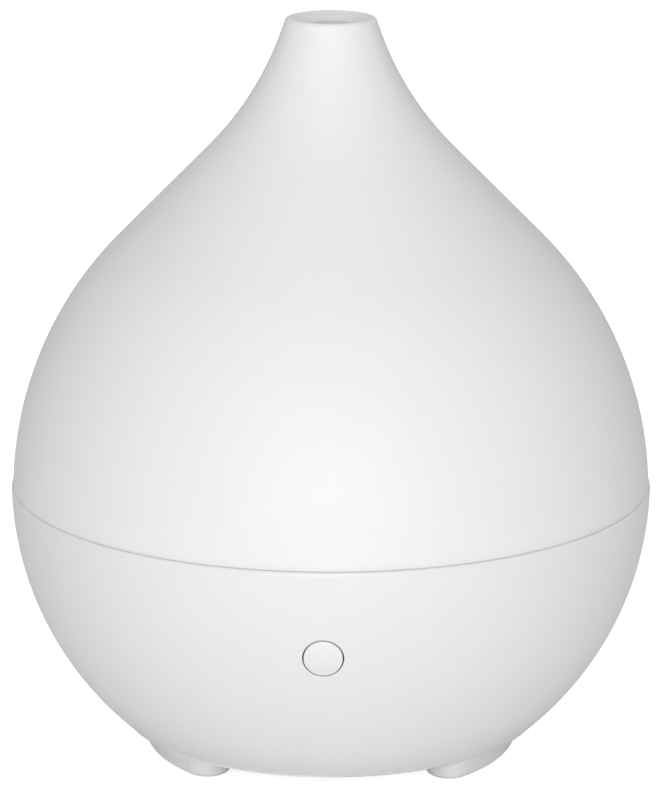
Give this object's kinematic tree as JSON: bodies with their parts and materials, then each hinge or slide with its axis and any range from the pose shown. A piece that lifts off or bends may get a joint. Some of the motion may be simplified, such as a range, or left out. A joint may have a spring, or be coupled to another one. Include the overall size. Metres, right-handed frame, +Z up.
{
  "type": "cool mist humidifier",
  "caption": "Drop-shaped tabletop ultrasonic humidifier: round bowl with tank, fan and mist disc on arc feet, under a lift-off cover with an outlet in its tip.",
  "frame": {"origin": "on the ground, below the centre of the bowl", "axes": "+Z up, -Y towards the front, where the button is, +X to the right seen from the front"},
  "size_m": [0.15, 0.15, 0.1735],
  "materials": {
    "frosted_cover": "fine frosted white polypropylene, faintly translucent",
    "white_shell": "smooth satin white",
    "white_plastic": "plain moulded white",
    "tank_plastic": "translucent white",
    "button_white": "smooth white",
    "silicone": "translucent grey silicone",
    "pad_rubber": "soft grey rubber",
    "screw_steel": "zinc plated",
    "shaft_steel": "ground",
    "nut_steel": "nickel plated",
    "disc_steel": "stamped stainless",
    "ceramic": "fired ceramic with a silver face",
    "circuit_board": "green solder mask",
    "light_chip": "white package with a yellow face",
    "black_plastic": "moulded black",
    "bronze": "sintered",
    "copper_coil": "lacquered winding",
    "ferrite": "dark grey",
    "capacitor_sleeve": "dark sleeve",
    "heat_sink_aluminium": "natural",
    "plug_plastic": "off-white nylon",
    "pin_brass": "plated"
  },
  "bodies": {
    "base": {"base_shell": "white_shell", "water_tank": "tank_plastic", "tank_gasket": "silicone", "tank_screws": "screw_steel", "air_cap": "tank_plastic", "mist_disc": "disc_steel", "disc_ceramic": "ceramic", "disc_seal": "silicone", "disc_clamp": "disc_steel", "clamp_screws": "screw_steel", "light_board": "circuit_board", "light_screws": "screw_steel", "light_chips": "light_chip", "fan_frame": "black_plastic", "fan_bush": "bronze", "fan_coils": "copper_coil", "fan_hood": "white_plastic", "fan_screws": "screw_steel", "main_board": "circuit_board", "board_screws": "screw_steel", "board_capacitors": "capacitor_sleeve", "board_inductor": "ferrite", "control_chip": "black_plastic", "power_transistor": "black_plastic", "heat_sink": "heat_sink_aluminium", "board_plugs": "plug_plastic", "switch_body": "black_plastic", "button_board": "circuit_board", "button_screws": "screw_steel", "power_inlet": "black_plastic", "inlet_pin": "pin_brass", "inlet_nut": "nut_steel", "bottom_plate": "white_shell", "foot_pads": "pad_rubber", "bottom_screws": "screw_steel"},
    "cover": {"top_cover": "frosted_cover", "mist_tube": "white_plastic"},
    "button": {"button_cap": "button_white", "switch_plunger": "black_plastic"},
    "fan": {"fan_rotor": "black_plastic", "fan_magnet": "ferrite", "fan_shaft": "shaft_steel"}
  },
  "joints": [
    {"name": "cover_lift", "type": "slide", "parent": "base", "child": "cover", "axis": [0, 0, 1], "range_m": [0, 0.15]},
    {"name": "button_press", "type": "slide", "parent": "base", "child": "button", "axis": [0, 1, 0], "range_m": [0, 0.0006], "stiffness_N_per_m": 2500},
    {"name": "fan_spin", "type": "hinge", "parent": "base", "child": "fan", "pos_m": [0.021, 0, 0.01486], "axis": [0, 0, 1], "continuous": true}
  ]
}
